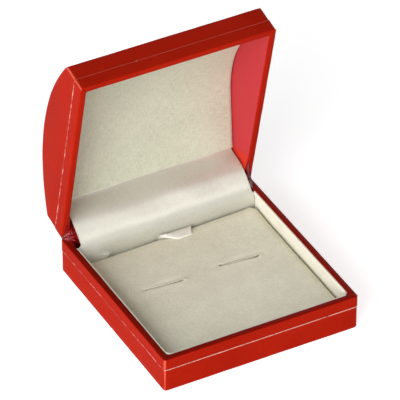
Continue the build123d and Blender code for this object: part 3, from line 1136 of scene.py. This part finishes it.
def slitShape(p):
    # how the velvet stands at a point near the slits, in millimetres up or down
    rise = 0.0
    for middle, gap in zip(slit["middles"], slit["gaps"]):
        u = (p.x - middle) / slit["half"]
        dy = p.y - slit["y"] + slit["lean"] * (u + 1) + slit["bow"] * math.sin(u * 3 + middle)
        inside = 1 - smooth(abs(u), 0.93, 1.0)
        opening = gap * math.sqrt(max(0.0, 1 - u * u))
        lip = math.exp(-(((abs(dy) - opening) / slit["lip"]) ** 2))
        rise -= slit["depth"] * lip * inside
        near = math.exp(-((dy / slit["reach"]) ** 2)) * (1 - smooth(abs(u), 0.8, 1.3))
        rise += slit["swell"] * near
        left = Vector((p.x - middle + slit["half"] + 0.4, dy))
        right = Vector((p.x - middle - slit["half"] - 1.3, dy - 0.3))
        rise -= slit["dimple"] * math.exp(-(left.length / 0.9) ** 2)
        rise += slit["pucker"] * math.exp(-(right.length / 1.3) ** 2)
        fold = Vector((p.x - middle + slit["half"] + 4.2, (dy + 0.8) * 2.2))
        rise -= 0.14 * math.exp(-(fold.length / 2.6) ** 2)
    return rise


def makeCushion():
    c = cushion
    size = c["scale"]
    low = (-c["halfWidth"] + 0.3, c["frontY"] + 0.3, c["low"] + 0.05)
    high = (c["halfWidth"] - 0.3, c["backY"] - 0.3, c["top"])
    piece = addBlock("cushion", [v * size for v in low], [v * size for v in high])
    editing(piece, "EDGE")
    pickEdges(piece, lambda a, b: abs(a.z - b.z) > 1)
    bevel(c["corner"] * size, 5)
    pickEdges(piece, lambda a, b: a.z > (c["top"] - 0.1) * size and b.z > (c["top"] - 0.1) * size)
    bevel(c["edge"] * size, 4)
    pickEdges(piece, lambda a, b: a.z < (c["low"] + 0.1) * size and b.z < (c["low"] + 0.1) * size)
    bevel(0.6 * size, 2)
    done()
    modify(piece, "REMESH", mode="VOXEL", voxel_size=c["voxel"] * size * mm)
    simulateCushion(piece)
    shiftPoints(piece, lambda p: p / size)
    middle = (c["frontY"] + c["backY"]) / 2
    reach = (c["backY"] - c["frontY"]) / 2

    def crowned(p):
        u = min(1, abs(p.x) / c["halfWidth"])
        v = min(1, abs(p.y - middle) / reach)
        share = max(0.0, (p.z - c["low"]) / (c["top"] - c["low"]))
        pull = 0.2 * (1 - u * u) * (1 - v * v)
        x = max(-c["halfWidth"], min(c["halfWidth"], p.x))
        y = max(c["frontY"], min(c["backY"], p.y))
        return (x, y, p.z + (c["crown"] * (1 - u * u) * (1 - v * v) + pull) * share)
    shiftPoints(piece, crowned)
    modify(piece, "SUBSURF", levels=1, render_levels=1)

    def squared(p):
        # draws the rounded top edge out, most at the back right
        size = c["edgeReach"]
        flat = Vector((p.x, p.y - middle))
        over = Vector((abs(flat.x) - c["halfWidth"] + c["corner"], abs(flat.y) - reach + c["corner"]))
        over = Vector((max(0.0, over.x), max(0.0, over.y)))
        s = 1 - (c["corner"] - over.length) / size
        t = min(1.0, 1 - (c["top"] - p.z) / size)
        if s < 0.02 or t < 0.02:
            return p
        start, perX, perY, fromY = c["square"]
        share = min(1.0, max(0.1, start + perX * p.x - perY * (fromY - p.y)))
        power = 2 + 6 * share
        grow = math.hypot(s, t) / (s ** power + t ** power) ** (1 / power)
        grow = min(grow, 1 / max(s, t))
        out = over.normalized() * (s * grow - s) * size
        x = p.x + math.copysign(out.x, flat.x)
        y = p.y + math.copysign(out.y, flat.y)
        return (x, y, p.z + (t * grow - t) * size)
    shiftPoints(piece, squared)

    def settled(p):
        # the back edge lies lower toward the left
        start, perX, most, fromY, toY = c["backDrop"]
        share = max(0.0, (p.z - c["low"]) / (c["top"] - c["low"])) * smooth(p.y, fromY, toY)
        return (p.x, p.y, p.z + max(most, start + perX * p.x) * share)
    shiftPoints(piece, settled)
    editing(piece)
    pickFaces(piece, lambda c, n: n.z > 0.5 and abs(c.y - slit["y"] + slit["lean"]) < 2.6
              and any(abs(c.x - m) < slit["half"] + 1.2 for m in slit["middles"]))
    bpy.ops.mesh.subdivide(number_cuts=3, smoothness=0)
    done()

    def slitted(p):
        if p.z < c["top"] - 1.5:
            return p
        return (p.x, p.y, p.z + slitShape(p))
    shiftPoints(piece, slitted)
    soften(piece, 80)
    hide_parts("pad_velvet", "pad_foam")
    dress(piece, velvet, "pad")


# Satin pull tab, a ribbon folded over at the cushion's back edge

ribbon = {
    "left": -4.4,
    "right": 10.4,
    "rightLean": 1.6,  # the right end is drawn in toward the front
    "front": 30.2,
    "back": 35.75,
    "gap": 0.5,
    "thick": 0.2,
    "topZ": 10.55,
    "tailY": 35.95,
    "tailLow": 2.9,
    "cuts": 90,
}


def makeRibbon():
    piece = addGrid("ribbonTab", ribbon["cuts"], ribbon["cuts"])

    def place(u, v):
        x = ribbon["left"] + u * (ribbon["right"] - ribbon["left"])
        # the left end is drawn in to a slanting fold
        narrow = 1 - smooth(u, 0.0, 0.5)
        back = ribbon["back"] - 0.5 * narrow
        front = ribbon["front"] + 4.2 * narrow + 0.8 * smooth(u, 0.93, 1.0) ** 2
        tailEnd, topEnd, foldEnd = 0.38, 0.72, 0.8
        forward = smooth(v, tailEnd, topEnd)
        x -= ribbon["rightLean"] * forward * smooth(u, 0.4, 1.0)
        depth = ribbon["gap"]
        wrinkle = 0.18 * math.sin(u * 34 + v * 15) * math.exp(-((u - 0.18) / 0.14) ** 2)
        wrinkle += 0.06 * ripple((u * 15, v * 9, 1), 2.6, 5)
        if v < tailEnd:
            s = v / tailEnd
            z = ribbon["tailLow"] + s * (9.0 - ribbon["tailLow"])
            return (x + 0.25 * narrow * s, ribbon["tailY"] - 0.05, z)
        if v < topEnd:
            s = (v - tailEnd) / (topEnd - tailEnd)
            bend = 1 - math.exp(-s * 9)
            y = ribbon["tailY"] - 0.05 + (back - ribbon["tailY"]) * bend * (1 - s) + (front - ribbon["tailY"]) * s
            z = 9.0 + (ribbon["topZ"] - 9.0) * bend
            z += 0.3 * math.sin(s * math.pi) + wrinkle * smooth(s, 0.12, 0.35)
            return (x, y, z)
        if v < foldEnd:
            s = (v - topEnd) / (foldEnd - topEnd)
            angle = s * math.pi
            z = ribbon["topZ"] - depth / 2 + depth / 2 * math.cos(angle)
            return (x, front - depth / 2 * math.sin(angle), z + wrinkle * (1 - s))
        s = (v - foldEnd) / (1 - foldEnd)
        return (x, front + s * (back - front) * 0.85, ribbon["topZ"] - depth)
    layOn(piece, place)
    thicken(piece, ribbon["thick"], (3, 20, 60))
    soften(piece, 60)
    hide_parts("pull_tab", "pull_tab_tail")
    piece.data.materials.clear()
    piece.data.materials.append(glossyRibbon)
    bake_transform(piece)


# Leatherette over the hinge, outside and inside, and its crumpled ends

hinge = {
    "outerY": 46.05,
    "outerLow": 8.5,
    "outerHalf": 40.0,
    "outerRound": 2.0,
    "innerY": 42.0,
    "innerLow": 8.5,
    "innerHalf": 41.75,
    "innerRound": 1.0,
    "reach": 8.0,
    "rimGap": 0.3,
    "thick": 0.25,
    "crumple": 0.75,
    "crumpleWidth": 5.5,
}


def blendHinge(piece, end, material):
    piece.data.materials.clear()
    piece.data.materials.append(material)
    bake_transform(piece)


def makeOuterStrip():
    h = hinge
    away = (h["outerY"] - box["hingeY"]) / math.cos(math.radians(box["openAngle"] / 2))
    turn = math.radians(-box["openAngle"] / 2)
    fold = (box["hingeY"] + away * math.cos(turn), box["hingeZ"] + away * math.sin(turn))
    end = opened((0, h["outerY"], box["rimZ"] + h["reach"])).yz
    path = Path(bendLine([(h["outerY"], h["outerLow"]), fold, end], [h["outerRound"]]))
    piece = addGrid("hingeStripOuter", 90, 50)

    def place(u, v):
        spot, inward = path.at(v * path.length)
        x = (u - 0.5) * 2 * h["outerHalf"]
        middle = math.exp(-(((v - 0.5) / 0.12) ** 2))
        lift = -0.12 - 0.08 * ripple((x, v * 16, 2), 4, 5) * (0.4 + middle)
        return (x, spot.x + inward.x * lift, spot.y + inward.y * lift)
    layOn(piece, place)
    thicken(piece, h["thick"], (0, 120, -20))
    soften(piece, 60)
    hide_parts("hinge_strip_outer")
    blendHinge(piece, opened((0, h["outerY"], 18.2)), lidLeatherette)


def makeInnerStrip():
    h = hinge
    points = [
        (h["innerY"], h["innerLow"]),
        (h["innerY"], box["baseHeight"] + h["rimGap"]),
        opened((0, h["innerY"], box["rimZ"] - h["rimGap"])).yz,
        opened((0, h["innerY"], box["rimZ"] + h["reach"])).yz,
    ]
    path = Path(bendLine(points, [h["innerRound"]] * 2))
    piece = addGrid("hingeStripInner", 220, 90)

    def place(u, v):
        spot, inward = path.at(v * path.length)
        x = (u - 0.5) * 2 * h["innerHalf"]
        side = h["innerHalf"] - abs(x)  # from the nearer end
        ends = math.exp(-((side / h["crumpleWidth"]) ** 2)) * smooth(v, 0.05, 0.2) * (1 - smooth(v, 0.8, 0.95))
        along = (v - 0.5) * path.length
        angle = math.atan2(along, side + 1.5)
        folds = 1 - abs(math.sin(angle * 4.2 + 0.6 * ripple((x, along, 0), 3.5, 2)))
        lift = h["crumple"] * ends * (folds + 0.35 * ripple((x, along, 1), 1.3, 9))
        lift += 0.06 * ripple((x, along, 4), 3, 7)
        return (x, spot.x + inward.x * lift, spot.y + inward.y * lift)
    layOn(piece, place)
    thicken(piece, h["thick"], (0, -40, 60))
    soften(piece, 60)
    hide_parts("hinge_strip_inner")
    blendHinge(piece, opened((0, h["innerY"], 18.0)), shadedCrumpledLeatherette)


gusset = {
    "outer": 44.9,
    "innerOnRim": 42.05,
    "innerFree": 40.8,
    "baseReach": 7.0,  # along the base's rim, from the hinge line
    "lidReach": 12.0,
    "bridge": 3.5,  # where the leather leaves each rim
    "least": 0.35,
    "stand": 0.09,
    "baseShare": 0.25,
    "lidShare": 0.6,
    "onRim": 0.16,
    "crumple": 0.75,
    "thick": 0.16,
}


def makeHingeFolds():
    # crumpled corners of the hinge leather, from the base's rim over the hinge line to the lid's rim
    g = gusset
    baseFacing = Vector((0, 0, 1))
    lidFacing = opened((0, box["hingeY"], box["hingeZ"] - 1)) - Vector((0, box["hingeY"], box["hingeZ"]))

    def onBase(reach):
        return Vector((0, box["hingeY"] - reach, box["baseHeight"] + g["stand"]))

    def onLid(reach):
        return opened((0, box["hingeY"] - reach, box["rimZ"] - g["stand"]))

    for name, side in (("Left", -1), ("Right", 1)):
        piece = addGrid("hingeFold" + name, 44, 110)

        def place(u, v):
            left = 1 - u
            bridge = g["least"] + g["bridge"] * left
            free = 0.0
            if v < g["baseShare"]:
                s = v / g["baseShare"]
                spot = onBase(bridge + (1 - s) * (g["baseReach"] - g["bridge"]) * left)
                facing = baseFacing
            elif v < g["lidShare"]:
                s = (v - g["baseShare"]) / (g["lidShare"] - g["baseShare"])
                spot = onBase(bridge).lerp(onLid(bridge), s)
                facing = baseFacing.lerp(lidFacing, s).normalized()
                free = math.sin(s * math.pi)
            else:
                s = (v - g["lidShare"]) / (1 - g["lidShare"])
                spot = onLid(bridge + s * (g["lidReach"] - g["bridge"]) * left)
                facing = lidFacing
            inner = g["innerOnRim"] + (g["innerFree"] - g["innerOnRim"]) * min(1, free * 2)
            x = inner + u * (g["outer"] - inner)
            along = (v - 0.45) * 16
            angle = math.atan2(along, left * 4 + 0.8)
            folds = 1 - abs(math.sin(angle * 4.6 + 1.1 * ripple((left * 4, along, side), 2.0, 3)))
            folds += 0.5 * ripple((left * 5, along, side), 0.8, 6)
            edge = smooth(v, 0.0, 0.08) * (1 - smooth(v, 0.92, 1.0)) * (1 - smooth(u, 0.8, 1.0))
            lift = (g["onRim"] + (g["crumple"] - g["onRim"]) * free) * folds * edge
            spot = spot + facing * lift
            return (side * x, spot.y, spot.z)
        layOn(piece, place)
        thicken(piece, g["thick"], (0, -20, 60))
        soften(piece, 50)
        blendHinge(piece, Vector((0, box["hingeY"] - 1, 18.9)), shadedCrumpledLeatherette)


# Red lining of the lid

redSheets = {
    "thick": 0.18,
    "inset": 2.82,
    "low": 17.25,
    "backY": 42.2,
    "facet": (31.4, 15.2),  # a point of the line where the sheet turns back
    "facetLean": 0.34,
    "facetSlope": 0.08,
    "puff": 0.1,
    "domeClear": 1.95,
}


def makeEndLinings():
    r = redSheets
    radius = skin["domeRadius"] - r["domeClear"]
    for name, side in (("left", -1), ("right", 1)):
        piece = addGrid("endLining" + name.capitalize(), 110, 50)

        def place(u, v):
            y = -(box["depth"] / 2 - r["inset"]) + 0.1 + u * (r["backY"] + box["depth"] / 2 - r["inset"] - 0.1)
            high = skin["domeMiddleZ"] + math.sqrt(radius ** 2 - y * y)
            z = r["low"] + v * (high - r["low"])
            turn = r["facet"][0] + r["facetLean"] * (z - r["facet"][1])
            away = r["facetSlope"] * max(0.0, y - turn)
            away += r["puff"] * math.sin(u * math.pi) * math.sin(v * math.pi)
            away += 0.04 * ripple((y, z, side), 9, 2)
            x = side * (box["width"] / 2 - r["inset"] - r["thick"] - away)
            return opened((x, y, z))
        layOn(piece, place)
        thicken(piece, r["thick"], opened((0, 0, 20)))
        soften(piece, 25)
        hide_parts("lid_end_lining_" + name)
        dress(piece, lining, "lid")


print("lining and panel")
makeWallLining()
makePanel()
makeEndLinings()
print("satin flap")
makeFlap()
print("cushion")
makeCushion()
print("ribbon tab")
makeRibbon()
print("hinge leatherette")
makeOuterStrip()
makeInnerStrip()
makeHingeFolds()


# Stage

stage = {"floorColour": (0.9, 0.9, 0.9), "floorLift": 0.6, "world": 0.13, "aim": (0, 0, 0.03)}

# place, size and power
lamps = {
    "keyLeft": ((-0.9, -0.6, 0.46), 0.8, 14.4),
    "lowLeft": ((-1.15, 0.0, 0.25), 0.5, 2.7),
    "lowFront": ((-0.45, -1.05, 0.15), 0.5, 4.2),
    "satinLight": ((0.165, -0.23, 0.345), 0.13, 0.24),
    "backRight": ((0.85, 0.95, 0.3), 0.6, 5.0),
}


def layFloor():
    clearSelection()
    # a hair below the box, so that the two faces don't lie in one plane
    bpy.ops.mesh.primitive_plane_add(size=6, location=(0, 0, -0.1 * mm))
    floor = bpy.context.object
    floor.name = "floor"
    m = Maker("floorWhite")
    seen = Wire(m, seenDirectly(m.tree.nodes, m.tree.links))
    m.finish(Base_Color=stage["floorColour"], Roughness=0.9, Specular_IOR_Level=0.0)
    m.finish(Emission_Color=(1, 1, 1), Emission_Strength=seen * stage["floorLift"])
    floor.data.materials.append(m.material)
    return floor


def areaLight(name, place, size, power):
    data = bpy.data.lights.new(name, "AREA")
    data.size = size
    data.energy = power
    lamp = bpy.data.objects.new(name, data)
    bpy.context.scene.collection.objects.link(lamp)
    lamp.location = Vector(place)
    lamp.rotation_euler = (Vector(stage["aim"]) - Vector(place)).to_track_quat("-Z", "Y").to_euler()


def seenDirectly(nodes, links):
    # 1 for the camera's rays and for those that gloss or glass sends on
    path = nodes.new("ShaderNodeLightPath")
    total = path.outputs["Is Camera Ray"]
    for name in ("Is Glossy Ray", "Is Transmission Ray"):
        most = nodes.new("ShaderNodeMath")
        most.operation = "MAXIMUM"
        links.new(total, most.inputs[0])
        links.new(path.outputs[name], most.inputs[1])
        total = most.outputs[0]
    return total


def lightScene():
    world = bpy.data.worlds.new("studio")
    world.use_nodes = True
    bpy.context.scene.world = world
    tree = world.node_tree
    back = tree.nodes["Background"]
    back.inputs["Color"].default_value = (1, 1, 1, 1)
    pick = tree.nodes.new("ShaderNodeMix")
    pick.inputs[2].default_value = stage["world"]
    pick.inputs[3].default_value = 1.0
    tree.links.new(seenDirectly(tree.nodes, tree.links), pick.inputs[0])
    tree.links.new(pick.outputs[0], back.inputs["Strength"])
    for name, (place, size, power) in lamps.items():
        areaLight(name, place, size, power)


def placeCamera():
    view = {"azimuth": -28.276, "elevation": 36.994, "roll": 0.094, "distance": 2032.2}
    view.update({"right": -3.558, "up": 24.799, "focal": 4931.5})
    az = math.radians(view["azimuth"])
    el = math.radians(view["elevation"])
    back = Vector((math.sin(az) * math.cos(el), -math.cos(az) * math.cos(el), math.sin(el)))
    right = Vector((math.cos(az), math.sin(az), 0))
    up = back.cross(right)
    target = Vector((0, 0, 20)) + view["right"] * right + view["up"] * up
    place = (target + view["distance"] * back) * mm
    turn = Matrix((right, up, back)).transposed().to_4x4()
    roll = Matrix.Rotation(math.radians(view["roll"]), 4, "Z")
    data = bpy.data.cameras.new("photoCamera")
    data.sensor_width = 36
    data.lens = view["focal"] / 400 * 36
    data.clip_start = 0.05
    data.clip_end = 20
    camera = bpy.data.objects.new("photoCamera", data)
    bpy.context.scene.collection.objects.link(camera)
    camera.matrix_world = Matrix.Translation(place) @ turn @ roll
    bpy.context.scene.camera = camera


print("stage")
layFloor()
lightScene()
placeCamera()
bpy.context.scene.view_settings.view_transform = "Standard"
